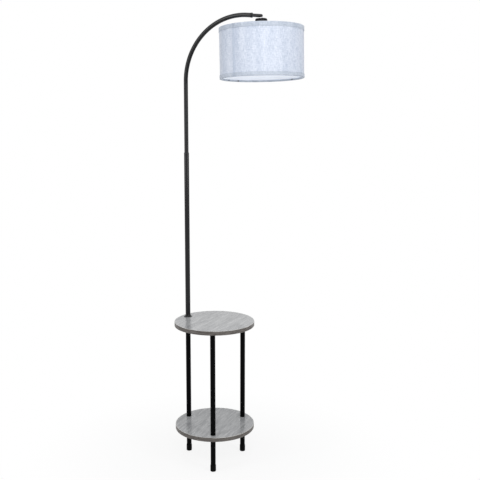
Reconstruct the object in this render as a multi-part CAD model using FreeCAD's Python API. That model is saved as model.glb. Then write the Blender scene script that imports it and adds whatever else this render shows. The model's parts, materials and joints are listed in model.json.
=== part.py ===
"""Arc floor lamp whose pole rises from a round three-legged side table with a lower shelf.

Millimetres. The model is laid out about the table's axis, with the floor at Z = 0, X to the right, Y to
the back and Z up, and is moved at the end so that the origin is the centre of the bounding box's bottom.
"""

import FreeCAD, Part
import os
from math import acos, atan2, cos, degrees, pi, radians, sin, sqrt

V = FreeCAD.Vector
Z = V(0, 0, 1)

# ---------------------------------------------------------------- driving dimensions
# table
BOARD_RADIUS = 152.4
BOARD_THICKNESS = 16.0
EDGE_BAND = 2.0
EDGE_ROUNDING = 1.0
TABLETOP_Z = 552.0
SHELF_Z = 143.5

# legs, on a circle inside the boards' edge
LEG_CIRCLE = 123.3
LEG_ANGLES = {"front": -91.3, "right": 28.7, "rear": 148.7}
LEG_RADIUS = 9.5
TUBE_WALL = 1.0
FOOT_RADIUS = 10.7
FOOT_HEIGHT = 25.0
FOOT_FLOOR = 4.0
WIRED_LEG = "rear"

# fixings
STUD_RADIUS = 3.95
NIPPLE_RADIUS = 4.95
NIPPLE_BORE = 3.6
INSERT_LENGTH = 12.0
STUD_REACH = 10.5
STUD_CLEARANCE = 0.5
SLIP = 0.05

# pole and arm
FLANGE_RADIUS = 15.7
FLANGE_STEP = 2.2
POLE_TOP = 1186.4
ARM_RADIUS = 7.95
ARM_INSERTED = 56.0
ARM_AZIMUTH = -25.0
ARC_START_Z = 1452.0
ARC_RADIUS = 228.0
ARC_TURN = 95.8
ARM_RUN = 16.0
END_RADIUS = 6.0
KNUCKLE_RUN = 53.7
GLAND_Z = 55.0
WIRE_RADIUS = 2.5

# lamp head, measured down the head's own axis from the knuckle
HEAD_LEAN = 1.84
HEAD_LEAN_BACK = 1.32
CUP_TOP = 9.9
CUP_BOTTOM = 55.5
CUP_RADIUS = 21.5
CUP_CORNER = 4.0
HUB_TOP = 56.0
SHADE_TOP = 40.0
SHADE_BOTTOM = 218.1
SHADE_RADIUS = 149.2
FABRIC = 0.7
LINER = 0.4
HEM = 1.4
TOP_HEM_HEIGHT = 16.0
BOTTOM_HEM_HEIGHT = 14.0
HEM_LIP = 6.5
RIM_INSET = 0.9
FRAME_WIRE = 1.6
FRAME_GAP = 0.7
KNOB_DOWN = 38.0
BULB_RADIUS = 30.0
BULB_CENTRE = 118.0
CLIP_ANGLES = (-56.0, -36.2, 51.5)

# travel of the joints, in degrees from the pose shown
TRAVEL = {"arm_swing": (-60.0, 60.0), "end_tube_turn": (-30.0, 30.0), "head_tilt": (-8.0, 25.0)}

# ---------------------------------------------------------------- worked out from them
CORE_RADIUS = BOARD_RADIUS - EDGE_BAND
TUBE_BORE = LEG_RADIUS - TUBE_WALL
PLUG_RADIUS = TUBE_BORE - SLIP
ARM_BORE = ARM_RADIUS - TUBE_WALL
END_BORE = END_RADIUS - TUBE_WALL
SHELF_UNDER = SHELF_Z - BOARD_THICKNESS
TABLETOP_UNDER = TABLETOP_Z - BOARD_THICKNESS
POLE_FOOT = TABLETOP_Z + FLANGE_STEP
ARM_FOOT = POLE_TOP - ARM_INSERTED
BUSH_TOP = POLE_TOP + 2.0
FABRIC_TOP = SHADE_TOP + RIM_INSET
FABRIC_BOTTOM = SHADE_BOTTOM - RIM_INSET


def leg_place(name):
    """The point on the floor under a leg."""
    angle = radians(LEG_ANGLES[name])
    return V(LEG_CIRCLE * cos(angle), LEG_CIRCLE * sin(angle), 0)


POLE = leg_place(WIRED_LEG)


def frame_of(origin, x_axis, y_axis, z_axis):
    return FreeCAD.Placement(origin, FreeCAD.Rotation(x_axis, y_axis, z_axis, "ZXY"))


# the arm's own frame: X outwards along the arm, Y to its left
OUTWARDS = V(cos(radians(ARM_AZIMUTH)), sin(radians(ARM_AZIMUTH)), 0)
SIDEWAYS = Z.cross(OUTWARDS)
ARM_FRAME = frame_of(POLE, OUTWARDS, SIDEWAYS, Z)

# where the arc ends, and the straight run that follows it
TURN = radians(ARC_TURN)
ARC_END = V(ARC_RADIUS * (1 - cos(TURN)), 0, ARC_START_Z + ARC_RADIUS * sin(TURN))
RUN_DIRECTION = V(sin(TURN), 0, cos(TURN))


def along_run(distance):
    """A point of the straight run, in the arm's frame."""
    return ARC_END + RUN_DIRECTION * distance


KNUCKLE = ARM_FRAME.multVec(along_run(KNUCKLE_RUN))
RUN_AXIS = ARM_FRAME.Rotation.multVec(RUN_DIRECTION)

# the head's axis points up and leans a little, as the lamp stands in its picture
HEAD_UP = (Z - OUTWARDS * sin(radians(HEAD_LEAN)) + SIDEWAYS * sin(radians(HEAD_LEAN_BACK))).normalize()
HINGE_AXIS = HEAD_UP.cross(RUN_AXIS).normalize()
HEAD_FRAME = frame_of(KNUCKLE, HINGE_AXIS.cross(HEAD_UP), HINGE_AXIS, HEAD_UP)
END_FRAME = frame_of(KNUCKLE, RUN_AXIS, HINGE_AXIS, RUN_AXIS.cross(HINGE_AXIS))


# ---------------------------------------------------------------- shape helpers
def line(start, end):
    return Part.LineSegment(V(start[0], 0, start[1]), V(end[0], 0, end[1])).toShape()


def revolved(*outline):
    """A closed outline of (radius, height) points turned about Z. A point given as ("arc", middle, end) is
    reached by an arc through its middle."""
    edges = []
    here = outline[0]
    for item in outline[1:] + (outline[0],):
        if item[0] == "arc":
            middle, end = item[1], item[2]
            points = [V(p[0], 0, p[1]) for p in (here, middle, end)]
            edges.append(Part.Arc(*points).toShape())
            here = end
        elif item != here:
            edges.append(line(here, item))
            here = item
    face = Part.Face(Part.Wire(edges))
    return Part.makeSolid(face.revolve(V(), Z, 360))


def corner(centre, radius, start, end):
    """An arc for revolved(): about a centre, between two directions in degrees."""
    middle = radians((start + end) / 2)
    finish = radians(end)
    return (
        "arc",
        (centre[0] + radius * cos(middle), centre[1] + radius * sin(middle)),
        (centre[0] + radius * cos(finish), centre[1] + radius * sin(finish)),
    )


def rod(radius, bottom, top, place=V()):
    return Part.makeCylinder(radius, top - bottom, V(place.x, place.y, bottom))


def tube(outer, inner, bottom, top, place=V()):
    return rod(outer, bottom, top, place).cut(rod(inner, bottom - 1, top + 1, place))


def rod_along(radius, start, end):
    return Part.makeCylinder(radius, (end - start).Length, start, end - start)


def placed(shape, frame):
    moved = shape.copy()
    moved.Placement = frame.multiply(moved.Placement)
    return moved


def at(shape, place):
    moved = shape.copy()
    moved.translate(place)
    return moved


def bent_rod(radius, bottom, run_end):
    """A round bar up the pole's axis, round the arc and along the straight run, in the arm's frame."""
    circle = Part.Face(Part.Wire(Part.makeCircle(radius, V(0, 0, ARC_START_Z), Z)))
    arc = Part.makeSolid(circle.revolve(V(ARC_RADIUS, 0, ARC_START_Z), V(0, 1, 0), ARC_TURN))
    upright = rod(radius, bottom, ARC_START_Z)
    run = rod_along(radius, ARC_END, along_run(run_end))
    return upright.fuse([arc, run]).removeSplitter()


def down(distance):
    """A height in the head's frame, which points up, from a distance below the knuckle."""
    return -distance


# ---------------------------------------------------------------- table
def foot_cap(place):
    """A rubber ferrule that the leg stands in."""
    rounding, bevel = 2.4, 0.8
    cap = revolved(
        (0, 0),
        (FOOT_RADIUS - rounding, 0),
        corner((FOOT_RADIUS - rounding, rounding), rounding, -90, 0),
        (FOOT_RADIUS, FOOT_HEIGHT - bevel),
        (FOOT_RADIUS - bevel, FOOT_HEIGHT),
        (LEG_RADIUS + SLIP, FOOT_HEIGHT),
        (LEG_RADIUS + SLIP, FOOT_FLOOR),
        (0, FOOT_FLOOR),
    )
    return at(cap, place)


def lower_leg(name):
    leg = tube(LEG_RADIUS, TUBE_BORE, FOOT_FLOOR, SHELF_UNDER, leg_place(name))
    if name == WIRED_LEG:
        gland_hole = Part.makeCylinder(4.5, LEG_RADIUS + 1, V(POLE.x, POLE.y, GLAND_Z), V(0, 1, 0))
        leg = leg.cut(gland_hole)
    return leg


def upper_leg(name):
    return tube(LEG_RADIUS, TUBE_BORE, SHELF_Z, TABLETOP_UNDER, leg_place(name))


def cord_gland():
    """A rubber bush in the back of the wired leg, where the supply lead goes in."""
    outer, neck, bore = 6.5, 4.45, 2.9
    bush = revolved(
        (bore, 7.0),
        (neck, 7.0),
        (neck, LEG_RADIUS + 0.4),
        (outer, LEG_RADIUS + 0.4),
        (outer, LEG_RADIUS + 2.0),
        corner((outer - 1.2, LEG_RADIUS + 2.0), 1.2, 0, 90),
        (bore, LEG_RADIUS + 3.2),
    )
    back = frame_of(V(POLE.x, POLE.y, GLAND_Z), V(1, 0, 0), V(0, 0, -1), V(0, 1, 0))
    return placed(bush, back)


def board(top):
    return rod(CORE_RADIUS, top - BOARD_THICKNESS, top)


def shelf_board():
    shelf = board(SHELF_Z)
    for name in LEG_ANGLES:
        radius = NIPPLE_RADIUS if name == WIRED_LEG else STUD_RADIUS
        hole = rod(radius + STUD_CLEARANCE, SHELF_UNDER - 1, SHELF_Z + 1, leg_place(name))
        shelf = shelf.cut(hole)
    return shelf


def tabletop_board():
    blind_depth = 12.0
    top = board(TABLETOP_Z)
    for name in LEG_ANGLES:
        if name == WIRED_LEG:
            hole = rod(NIPPLE_RADIUS + STUD_CLEARANCE, TABLETOP_UNDER - 1, TABLETOP_Z + 1, POLE)
        else:
            blind_end = TABLETOP_UNDER + blind_depth
            hole = rod(STUD_RADIUS + SLIP, TABLETOP_UNDER - 1, blind_end, leg_place(name))
        top = top.cut(hole)
    return top


def edge_band(top):
    """The strip glued round a board, with both outer arrises rounded."""
    bottom = top - BOARD_THICKNESS
    inner = BOARD_RADIUS - EDGE_ROUNDING
    return revolved(
        (CORE_RADIUS + SLIP, bottom),
        (inner, bottom),
        corner((inner, bottom + EDGE_ROUNDING), EDGE_ROUNDING, -90, 0),
        (BOARD_RADIUS, top - EDGE_ROUNDING),
        corner((inner, top - EDGE_ROUNDING), EDGE_ROUNDING, 0, 90),
        (CORE_RADIUS + SLIP, top),
    )


def insert(name, bottom):
    """A steel plug pressed into a tube's end and tapped for a stud, or for the hollow nipple."""
    bore = NIPPLE_RADIUS if name == WIRED_LEG else STUD_RADIUS
    return tube(PLUG_RADIUS, bore + SLIP, bottom, bottom + INSERT_LENGTH, leg_place(name))


def lower_leg_inserts():
    return Part.makeCompound([insert(name, SHELF_UNDER - INSERT_LENGTH) for name in LEG_ANGLES])


def upper_leg_inserts():
    bottoms = (SHELF_Z, TABLETOP_UNDER - INSERT_LENGTH)
    return Part.makeCompound([insert(name, bottom) for name in LEG_ANGLES for bottom in bottoms])


def shelf_studs():
    plain = [name for name in LEG_ANGLES if name != WIRED_LEG]
    low, high = SHELF_UNDER - STUD_REACH, SHELF_Z + STUD_REACH
    return Part.makeCompound([rod(STUD_RADIUS, low, high, leg_place(name)) for name in plain])


def shelf_nipple():
    return tube(NIPPLE_RADIUS, NIPPLE_BORE, SHELF_UNDER - STUD_REACH, SHELF_Z + STUD_REACH, POLE)


def hanger_bolts():
    """Studs with a wood thread at the top, screwed up into the tabletop from below."""
    grip = 11.0
    plain = [name for name in LEG_ANGLES if name != WIRED_LEG]
    low, high = TABLETOP_UNDER - STUD_REACH, TABLETOP_UNDER + grip
    return Part.makeCompound([rod(STUD_RADIUS, low, high, leg_place(name)) for name in plain])


def tabletop_nipple():
    return tube(NIPPLE_RADIUS, NIPPLE_BORE, TABLETOP_UNDER - STUD_REACH, POLE_FOOT + STUD_REACH, POLE)


def pole_flange():
    """The cover disc at the pole's foot, hollowed into a short cone that takes the tube."""
    rim, cone_top, cone_height = 1.2, 10.9, 6.6
    flange = revolved(
        (NIPPLE_RADIUS + SLIP, 0),
        (FLANGE_RADIUS, 0),
        (FLANGE_RADIUS, rim),
        corner((FLANGE_RADIUS - 0.8, rim), 0.8, 0, 90),
        ("arc", (12.2, 3.2), (cone_top, cone_height)),
        (LEG_RADIUS + SLIP, cone_height),
        (LEG_RADIUS + SLIP, FLANGE_STEP),
        (NIPPLE_RADIUS + SLIP, FLANGE_STEP),
    )
    return at(flange, V(POLE.x, POLE.y, TABLETOP_Z))


# ---------------------------------------------------------------- pole and arm
def lower_pole():
    return tube(LEG_RADIUS, TUBE_BORE, POLE_FOOT, POLE_TOP, POLE)


def pole_insert():
    return insert(WIRED_LEG, POLE_FOOT)


def pole_bush():
    """The nylon sleeve in the pole's mouth that the arm turns in, with a lip over the tube's end."""
    bore = ARM_RADIUS + SLIP
    sleeve_length = 40.0
    lip_rounding = 1.3
    bush = revolved(
        (bore, POLE_TOP - sleeve_length),
        (PLUG_RADIUS, POLE_TOP - sleeve_length),
        (PLUG_RADIUS, POLE_TOP),
        (LEG_RADIUS, POLE_TOP),
        (LEG_RADIUS, BUSH_TOP - lip_rounding),
        corner((LEG_RADIUS - lip_rounding, BUSH_TOP - lip_rounding), lip_rounding, 0, 90),
        (bore, BUSH_TOP),
    )
    return at(bush, POLE)


def stand_wire():
    """The lead inside the stand, from the gland up the wired leg and the pole."""
    turn = V(POLE.x, POLE.y, GLAND_Z)
    slack = 8.0
    upright = rod(WIRE_RADIUS, GLAND_Z, ARM_FOOT - slack, POLE)
    stub = rod_along(WIRE_RADIUS, turn, turn + V(0, LEG_RADIUS + 0.5, 0))
    return upright.fuse([stub, Part.makeSphere(WIRE_RADIUS, turn)]).removeSplitter()


def arm_tube():
    outer = bent_rod(ARM_RADIUS, ARM_FOOT, ARM_RUN)
    inner = bent_rod(ARM_BORE, ARM_FOOT - 1, ARM_RUN + 1)
    return placed(outer.cut(inner), ARM_FRAME)


def run_frame():
    """X and Y across the straight run, Z along it, from the arc's end."""
    origin = ARM_FRAME.multVec(ARC_END)
    return frame_of(origin, SIDEWAYS, RUN_AXIS.cross(SIDEWAYS), RUN_AXIS)


def arm_ferrule():
    """The flared reducer on the arm's end, which the thinner end tube turns in."""
    back, front = 11.0, 19.5
    flare = 9.0
    ferrule = revolved(
        (ARM_RADIUS + SLIP, back),
        (ARM_RADIUS + 0.3, back),
        ("arc", (8.5, 13.6), (flare, 16.4)),
        (flare, 18.0),
        corner((flare - 1.5, 18.0), 1.5, 0, 90),
        (END_RADIUS + SLIP, front),
        (END_RADIUS + SLIP, ARM_RUN),
        (ARM_RADIUS + SLIP, ARM_RUN),
    )
    return placed(ferrule, run_frame())


def arm_bush():
    return placed(tube(ARM_BORE - SLIP, END_RADIUS + SLIP, 1.0, ARM_RUN), run_frame())


def arm_wire():
    return placed(bent_rod(WIRE_RADIUS, ARM_FOOT, 1.0), ARM_FRAME)


# ---------------------------------------------------------------- end tube and knuckle
FORK_BACK = -10.0
SLOT_HALF = 2.5
TONGUE_HALF = 2.3
EYE_RADIUS = 4.2
PIN_RADIUS = 1.5


def end_tube():
    back = KNUCKLE_RUN - 2.0
    shape = tube(END_RADIUS, END_BORE, -back, FORK_BACK)
    return placed(shape, frame_of(KNUCKLE, HINGE_AXIS, RUN_AXIS.cross(HINGE_AXIS), RUN_AXIS))


def end_fork():
    """The ball-nosed fitting on the end tube, slotted from below for the head's tongue."""
    body = rod_along(END_RADIUS, V(FORK_BACK, 0, 0), V())
    spigot = rod_along(END_BORE - SLIP, V(FORK_BACK - 9, 0, 0), V(FORK_BACK, 0, 0))
    fork = body.fuse([Part.makeSphere(END_RADIUS), spigot])
    slot = Part.makeBox(14, 2 * SLOT_HALF, 8, V(-6, -SLOT_HALF, -8))
    # the tongue rises here when the head tilts outwards
    nose_slot = Part.makeBox(8, 2 * SLOT_HALF, 10, V(0, -SLOT_HALF, -8))
    slot_roof = Part.makeCylinder(EYE_RADIUS + 0.4, 2 * SLOT_HALF, V(0, -SLOT_HALF, 0), V(0, 1, 0))
    pin_hole = Part.makeCylinder(PIN_RADIUS + 0.02, 10, V(0, -4.7, 0), V(0, 1, 0))
    head_seat = Part.makeCylinder(2.6, 3, V(0, 4.7, 0), V(0, 1, 0))
    wire_way = rod_along(2.2, V(FORK_BACK - 10, 0, 0), V(-5, 0, 0))
    for hollow in (slot, nose_slot, slot_roof, pin_hole, head_seat, wire_way):
        fork = fork.cut(hollow)
    return placed(fork.removeSplitter(), END_FRAME)


def knuckle_screw():
    shank = Part.makeCylinder(PIN_RADIUS, 9.4, V(0, -4.6, 0), V(0, 1, 0))
    head = Part.makeCylinder(2.5, 1.2, V(0, 4.75, 0), V(0, 1, 0))
    driver_slot = Part.makeBox(6, 0.6, 0.6, V(-3, 5.4, -0.3))
    return placed(shank.fuse(head).removeSplitter().cut(driver_slot), END_FRAME)


def end_wire():
    back = V(-(KNUCKLE_RUN - 3.0), 0, 0)
    return placed(rod_along(1.9, back, V(-7.5, 0, 0)), END_FRAME)


# ---------------------------------------------------------------- lamp head
STEM_END = 21.0
COLLAR = 0.5


def neck_stem():
    """The tongue in the fork, a collar on the cup, and the threaded stem that holds cup and socket."""
    collar_top = CUP_TOP - COLLAR
    foot_half, flare_start, flare_end = 5.0, 6.0, 8.0
    right_side = [
        (EYE_RADIUS, 0),
        (EYE_RADIUS, down(flare_start)),
        (foot_half, down(flare_end)),
        (foot_half, down(collar_top + 0.2)),
    ]
    left_side = [(-x, z) for x, z in reversed(right_side)]
    outline = [V(x, -TONGUE_HALF, z) for x, z in right_side + left_side]
    blade = Part.Face(Part.makePolygon(outline + [outline[0]])).extrude(V(0, 2 * TONGUE_HALF, 0))
    eye = Part.makeCylinder(EYE_RADIUS, 2 * TONGUE_HALF, V(0, -TONGUE_HALF, 0), V(0, 1, 0))
    collar = rod(6.5, down(CUP_TOP), down(collar_top))
    thread = rod(NIPPLE_RADIUS, down(STEM_END), down(CUP_TOP))
    stem = blade.fuse([eye, collar, thread]).removeSplitter()
    pin_hole = Part.makeCylinder(PIN_RADIUS + 0.05, 6, V(0, -3, 0), V(0, 1, 0))
    wire_way = rod(2.2, down(STEM_END + 1), down(11.5))
    return placed(stem.cut(pin_hole).cut(wire_way), HEAD_FRAME)


def socket_cup():
    """The black cup over the socket, open below."""
    wall = 1.0
    outer, inner = CUP_RADIUS, CUP_RADIUS - wall
    top, inner_top = down(CUP_TOP), down(CUP_TOP + wall)
    bend = CUP_CORNER
    cup = revolved(
        (NIPPLE_RADIUS + SLIP, top),
        (outer - bend, top),
        corner((outer - bend, top - bend), bend, 90, 0),
        (outer, down(CUP_BOTTOM)),
        (inner, down(CUP_BOTTOM)),
        (inner, top - bend),
        corner((outer - bend, top - bend), bend - wall, 0, 90),
        (NIPPLE_RADIUS + SLIP, inner_top),
    )
    stem_hole = Part.makeCylinder(2.3, CUP_RADIUS + 2, V(0, 0, down(KNOB_DOWN)), V(0, 1, 0))
    return placed(cup.cut(stem_hole), HEAD_FRAME)


def hexagon(across_flats, bottom, height):
    radius = across_flats / 2 / cos(pi / 6)
    points = [V(radius * cos(k * pi / 3), radius * sin(k * pi / 3), bottom) for k in range(7)]
    return Part.Face(Part.makePolygon(points)).extrude(V(0, 0, height))


def cup_nut():
    nut = hexagon(14.0, down(CUP_TOP + 1.0 + 3.0), 3.0)
    bore = rod(NIPPLE_RADIUS + SLIP, down(20), down(5))
    return placed(nut.cut(bore), HEAD_FRAME)


SOCKET_TOP = 22.0
SOCKET_BOTTOM = 70.0
SOCKET_BORE = 14.2
SKIRT_RADIUS = 18.6


def lamp_socket():
    """The moulded lampholder: a tapped boss, a closed body, a shoulder and a threaded skirt."""
    groove, pitch, grooves = 0.45, 2.8, 3
    outline = [
        (NIPPLE_RADIUS + SLIP, down(15)),
        (8.5, down(15)),
        (8.5, down(SOCKET_TOP)),
        (14.5, down(SOCKET_TOP)),
        corner((14.5, down(SOCKET_TOP + 2)), 2.0, 90, 0),
        (16.5, down(52.5)),
        (20.2, down(52.5)),
        (20.2, down(HUB_TOP)),
        (SKIRT_RADIUS, down(HUB_TOP)),
    ]
    for turn in range(grooves):
        top = 60.0 + turn * pitch
        outline += [
            (SKIRT_RADIUS, down(top)),
            (SKIRT_RADIUS - groove, down(top + groove)),
            (SKIRT_RADIUS, down(top + 2 * groove)),
        ]
    outline += [
        (SKIRT_RADIUS, down(SOCKET_BOTTOM - 0.8)),
        (SKIRT_RADIUS - 0.8, down(SOCKET_BOTTOM)),
        (SOCKET_BORE, down(SOCKET_BOTTOM)),
        (SOCKET_BORE, down(SOCKET_TOP + 3)),
        (NIPPLE_RADIUS + SLIP, down(SOCKET_TOP + 3)),
    ]
    stem_hole = Part.makeCylinder(1.8, 20, V(0, 0, down(KNOB_DOWN)), V(0, 1, 0))
    return placed(revolved(*outline).cut(stem_hole), HEAD_FRAME)


def socket_shell():
    return placed(tube(13.9, 13.35, down(68.0), down(45.0)), HEAD_FRAME)


def socket_contact():
    """The sprung brass tongue that meets the bulb's tip."""
    thickness, width = 0.6, 6.0
    foot, bend, root, tip, tip_down = -11, 42, 30, 2, 42.4
    outline = [
        (foot, root),
        (foot, bend),
        (tip, tip_down),
        (tip, tip_down - thickness),
        (foot + thickness, bend - thickness),
        (foot + thickness, root),
    ]
    points = [V(x, -width / 2, down(d)) for x, d in outline]
    tongue = Part.Face(Part.makePolygon(points + [points[0]])).extrude(V(0, width, 0))
    return placed(tongue, HEAD_FRAME)


KNOB_START = 24.0
KNOB_STEM = 1.6


def switch_stem():
    inner_end, reach = 10.0, 22.0
    stem = Part.makeCylinder(KNOB_STEM, reach, V(0, inner_end, down(KNOB_DOWN)), V(0, 1, 0))
    return placed(stem, HEAD_FRAME)


def switch_knob():
    """A small fluted turn-knob on the switch's stem."""
    length, radius, flutes, flute_radius, stem_end = 13.0, 6.0, 12, 0.7, 8.05
    knob = revolved(
        (0, stem_end),
        (0, length),
        (radius - 1.0, length),
        corner((radius - 1.0, length - 1.0), 1.0, 90, 0),
        (radius, 0),
        (KNOB_STEM + SLIP, 0),
        (KNOB_STEM + SLIP, stem_end),
    )
    for k in range(flutes):
        angle = 2 * pi * k / flutes
        place = V(radius * cos(angle), radius * sin(angle), 0)
        knob = knob.cut(rod(flute_radius, 1.5, length + 1, place))
    axis_frame = frame_of(V(0, KNOB_START, down(KNOB_DOWN)), V(1, 0, 0), V(0, 0, -1), V(0, 1, 0))
    return placed(placed(knob, axis_frame), HEAD_FRAME)


def neck_wire():
    return placed(rod(2.0, down(40.0), down(12.0)).cut(rod(0.6, down(41.0), down(39.0))), HEAD_FRAME)


# the shade's frame
WIRE_RING = SHADE_RADIUS - FABRIC - LINER - FRAME_GAP - FRAME_WIRE
TOP_WIRE_DOWN = FABRIC_TOP + FRAME_WIRE
BOTTOM_WIRE_DOWN = FABRIC_BOTTOM - FRAME_WIRE
ROD_COUNT = 3


def wire_ring(below):
    return Part.makeTorus(WIRE_RING, FRAME_WIRE, V(0, 0, down(below)))


def spider_rods(radius):
    """The rods that climb from the top of the hub to the top ring."""
    start, weld = 24.0, 0.6
    low = V(0, 0, down(HUB_TOP - FRAME_WIRE + weld))
    high = V(0, 0, down(TOP_WIRE_DOWN))
    rods = []
    for k in range(ROD_COUNT):
        angle = radians(30 + 360 * k / ROD_COUNT)
        ray = V(cos(angle), sin(angle), 0)
        rods.append(rod_along(radius, ray * start + low, ray * WIRE_RING + high))
    return rods


def shade_spider():
    """The top ring, its three rods and the hub that the socket clamps, welded into one."""
    hub = tube(27.0, SKIRT_RADIUS + 0.1, down(HUB_TOP + 2), down(HUB_TOP))
    ring = wire_ring(TOP_WIRE_DOWN)
    return placed(hub.fuse([ring] + spider_rods(FRAME_WIRE)), HEAD_FRAME)


def shade_bottom_wire():
    return placed(wire_ring(BOTTOM_WIRE_DOWN), HEAD_FRAME)


def shade_ring_nut():
    """The notched ring that screws up the socket's skirt and clamps the hub."""
    top, bottom, outer, notches, notch_radius = HUB_TOP + 2, HUB_TOP + 7.5, 25.0, 16, 1.3
    ring = tube(outer, SKIRT_RADIUS + SLIP, down(bottom), down(top))
    for k in range(notches):
        angle = 2 * pi * k / notches
        place = V(outer * cos(angle), outer * sin(angle), 0)
        ring = ring.cut(rod(notch_radius, down(bottom + 1), down(top - 1), place))
    return placed(ring, HEAD_FRAME)


def shade_wall(outer, thickness):
    return placed(tube(outer, outer - thickness, down(FABRIC_BOTTOM), down(FABRIC_TOP)), HEAD_FRAME)


def shade_fabric():
    return shade_wall(SHADE_RADIUS, FABRIC)


def shade_liner():
    return shade_wall(SHADE_RADIUS - FABRIC - SLIP, LINER)


def hem(edge, inwards, height):
    """A strip folded over a rim of the shade and its wire: edge is how far down the rim is, and inwards is 1
    where the shade lies below the rim, -1 where it lies above."""
    outer = SHADE_RADIUS + HEM
    lip_face = WIRE_RING - FRAME_WIRE - 0.7
    fold, lip = 0.8, 0.6

    def level(distance):
        return down(edge + inwards * distance)

    outline = [
        (SHADE_RADIUS + SLIP, level(fold)),
        (SHADE_RADIUS + SLIP, level(height)),
        (outer, level(height)),
        (outer, level(fold)),
        (outer - fold, level(0)),
        (lip_face + fold, level(0)),
        (lip_face, level(fold)),
        (lip_face, level(HEM_LIP)),
        (lip_face + lip, level(HEM_LIP)),
        (lip_face + lip, level(fold)),
    ]
    return revolved(*outline)


def shade_top_hem():
    notched = hem(SHADE_TOP, 1, TOP_HEM_HEIGHT)
    for bar in spider_rods(FRAME_WIRE + 0.3):
        notched = notched.cut(bar)
    return placed(notched, HEAD_FRAME)


def shade_bottom_hem():
    return placed(hem(SHADE_BOTTOM, -1, BOTTOM_HEM_HEIGHT), HEAD_FRAME)


def hem_clips():
    """Three small dark clips on the inside of the bottom hem, at the back."""
    inner = WIRE_RING - FRAME_WIRE - 0.75
    width, thickness, height, above_rim = 5.0, 0.7, 4.0, 1.5
    world_back = HEAD_FRAME.Rotation.inverted().multVec(V(0, 1, 0))
    back_angle = degrees(atan2(world_back.y, world_back.x))
    clips = []
    for angle in CLIP_ANGLES:
        turn = FreeCAD.Placement(V(), FreeCAD.Rotation(Z, back_angle - angle))
        lowest = V(inner - thickness - 0.1, -width / 2, down(SHADE_BOTTOM - above_rim))
        clip = Part.makeBox(thickness, width, height, lowest)
        clips.append(placed(placed(clip, turn), HEAD_FRAME))
    return Part.makeCompound(clips)


# ---------------------------------------------------------------- bulb
BULB_NECK_DOWN = SOCKET_BOTTOM + 0.6


def bulb_globe():
    """The frosted envelope: a ball that tapers to the neck."""
    wall, neck = 1.0, 13.9
    span = BULB_CENTRE - BULB_NECK_DOWN
    # the straight flank is tangent to the ball
    touch = degrees(atan2(span, neck) - acos(BULB_RADIUS / sqrt(span**2 + neck**2)))
    centre = (0, down(BULB_CENTRE))

    def touching(radius):
        return (radius * cos(radians(touch)), centre[1] + radius * sin(radians(touch)))

    inner = BULB_RADIUS - wall
    globe = revolved(
        (neck, down(BULB_NECK_DOWN)),
        touching(BULB_RADIUS),
        corner(centre, BULB_RADIUS, touch, -90),
        (0, centre[1] - inner),
        corner(centre, inner, -90, touch),
        (neck - wall, down(BULB_NECK_DOWN)),
    )
    return placed(globe, HEAD_FRAME)


def bulb_base():
    """The screw cap, with its rounded thread drawn as rings, and the contact at its tip."""
    top, crest, root, pitch, turns = 46.0, 13.1, 12.4, 3.6, 5
    outline = [(0, down(43)), (4, down(43)), (4.6, down(44.5)), (9.5, down(top)), (root, down(top + 1.2))]
    for turn in range(turns):
        here = top + 1.2 + turn * pitch
        outline.append(("arc", (crest, down(here + pitch / 2)), (root, down(here + pitch))))
    outline += [(root, down(BULB_NECK_DOWN)), (0, down(BULB_NECK_DOWN))]
    return placed(revolved(*outline), HEAD_FRAME)


# ---------------------------------------------------------------- the whole
def build():
    """Every sub-part by its node's name, still about the table's axis."""
    parts = {}
    for name in LEG_ANGLES:
        parts["foot_cap_" + name] = foot_cap(leg_place(name))
        parts["lower_leg_" + name] = lower_leg(name)
        parts["upper_leg_" + name] = upper_leg(name)
    parts["shelf_board"] = shelf_board()
    parts["shelf_edge_band"] = edge_band(SHELF_Z)
    parts["tabletop_board"] = tabletop_board()
    parts["tabletop_edge_band"] = edge_band(TABLETOP_Z)
    makers = [
        lower_leg_inserts, upper_leg_inserts, shelf_studs, shelf_nipple,
        hanger_bolts, tabletop_nipple,
        pole_flange, lower_pole, pole_insert, pole_bush, cord_gland, stand_wire,
        arm_tube, arm_ferrule, arm_bush, arm_wire,
        end_tube, end_fork, knuckle_screw, end_wire,
        neck_stem, socket_cup, cup_nut, lamp_socket, socket_shell, socket_contact, neck_wire,
        switch_stem, switch_knob,
        shade_spider, shade_bottom_wire, shade_ring_nut, shade_fabric, shade_liner,
        shade_top_hem, shade_bottom_hem, hem_clips, bulb_globe, bulb_base,
    ]
    for maker in makers:
        parts[maker.__name__] = maker()
    return parts


def joint_axes():
    """Each joint's place and axis, about the table's axis."""
    knob = HEAD_FRAME.multVec(V(0, KNOB_START, down(KNOB_DOWN)))
    return {
        "arm_swing": (POLE + V(0, 0, POLE_TOP), Z),
        "end_tube_turn": (ARM_FRAME.multVec(along_run(ARM_RUN)), RUN_AXIS),
        "head_tilt": (KNUCKLE, HINGE_AXIS * -1),
        "switch_turn": (knob, HINGE_AXIS),
    }


def bottom_centre(parts):
    box = Part.makeCompound(list(parts.values())).optimalBoundingBox(False, False)
    return V(box.Center.x, box.Center.y, box.ZMin)


def main():
    os.makedirs("parts", exist_ok=True)
    parts = build()
    origin = bottom_centre(parts)
    for name, shape in parts.items():
        shape.translate(-origin)
        shape.exportStep("parts/" + name + ".step")
        state = "" if shape.isValid() and shape.Volume > 0 else "  NOT VALID"
        print(f"{name:22s} {len(shape.Solids)} solid(s) {shape.Volume:12.1f} mm3{state}")
    print(len(parts), "nodes; origin taken from", [round(c, 3) for c in origin])
    for name, (place, axis) in joint_axes().items():
        travel = TRAVEL.get(name, "turns without limit")
        print(name, "at", [round(c, 3) for c in place - origin], "about", [round(c, 4) for c in axis], travel)


if __name__ == "__main__":
    main()
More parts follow.
